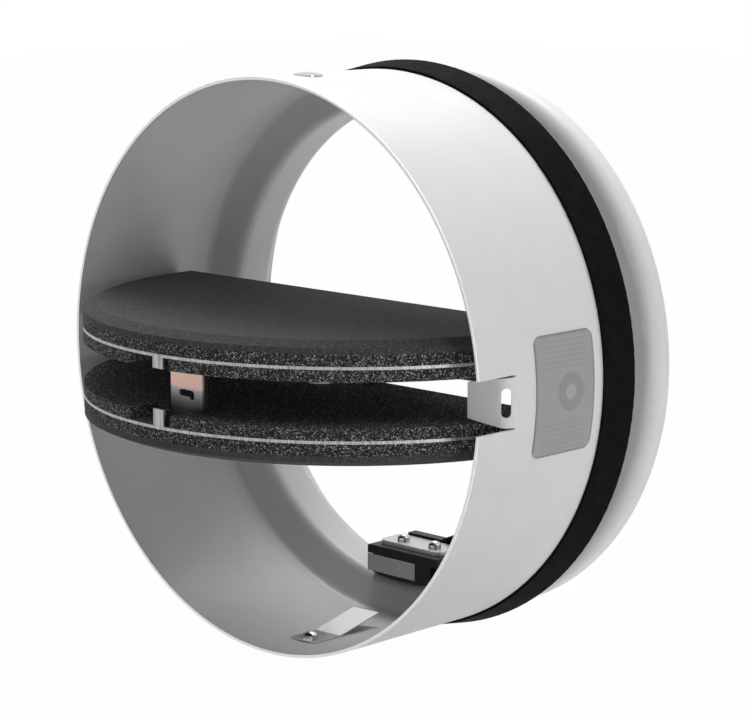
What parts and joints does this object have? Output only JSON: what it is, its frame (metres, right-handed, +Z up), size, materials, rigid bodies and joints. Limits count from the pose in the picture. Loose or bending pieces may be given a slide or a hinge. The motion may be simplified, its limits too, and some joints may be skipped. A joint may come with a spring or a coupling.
{
  "type": "fire damper",
  "caption": "Round duct fire damper: grooved tube with a rubber seal and two folded half-round blades on one axle, held open by a fusible link, with an end switch.",
  "frame": {"origin": "on the tube's axis, in the plane of the rear rim", "axes": "+Y along the tube's axis out of the rear, +Z up across the blades, +X along the axle towards the label"},
  "size_m": [0.2034, 0.1461, 0.2034],
  "materials": {
    "casing_paint": "satin",
    "seal_rubber": "matte",
    "label_film": "satin",
    "core_board": "matte, speckled",
    "cover_board": "matte",
    "switch_plastic": "matte",
    "link_copper": "satin",
    "bright_zinc": "polished",
    "plain_steel": "satin"
  },
  "bodies": {
    "casing": {"casing_tube": "casing_paint", "duct_seal": "seal_rubber", "axle": "bright_zinc", "axle_bush_left": "plain_steel", "axle_bush_right": "plain_steel", "side_label": "label_film", "closing_spring_left": "plain_steel", "closing_spring_right": "plain_steel", "lower_leaf_spring": "plain_steel", "upper_leaf_spring": "plain_steel", "lower_spring_rivet": "bright_zinc", "upper_spring_rivet": "bright_zinc", "switch_base": "switch_plastic", "switch_cap": "switch_plastic", "switch_clamp_plate": "plain_steel", "switch_screws": "bright_zinc", "cable_gland": "seal_rubber", "lever_pin": "bright_zinc"},
    "upper_blade": {"upper_blade_cover": "cover_board", "upper_blade_outer_core": "core_board", "upper_blade_sheet": "plain_steel", "upper_blade_inner_core": "core_board", "upper_blade_rivets": "bright_zinc", "link_rear_plate": "plain_steel"},
    "lower_blade": {"lower_blade_cover": "cover_board", "lower_blade_outer_core": "core_board", "lower_blade_sheet": "plain_steel", "lower_blade_inner_core": "core_board", "link_front_plate": "link_copper", "link_edge_strip": "plain_steel"},
    "switch_arm": {"switch_lever": "plain_steel", "switch_plunger": "switch_plastic"}
  },
  "joints": [
    {"name": "upper_blade_hinge", "type": "hinge", "parent": "casing", "child": "upper_blade", "pos_m": [0, -0.0518, 0], "axis": [-1, 0, 0], "range_deg": [0, 90], "deforming": ["upper_leaf_spring", "closing_spring_left", "closing_spring_right"]},
    {"name": "lower_blade_hinge", "type": "hinge", "parent": "casing", "child": "lower_blade", "pos_m": [0, -0.0518, 0], "axis": [1, 0, 0], "range_deg": [0, 90], "deforming": ["lower_leaf_spring", "closing_spring_left", "closing_spring_right"]},
    {"name": "switch_lever_hinge", "type": "hinge", "parent": "casing", "child": "switch_arm", "pos_m": [0.0111, -0.0285, -0.08125], "axis": [0, 0, -1], "range_deg": [0, 4], "stiffness_Nm_per_rad": 0.02, "springref_deg": -2.86}
  ]
}
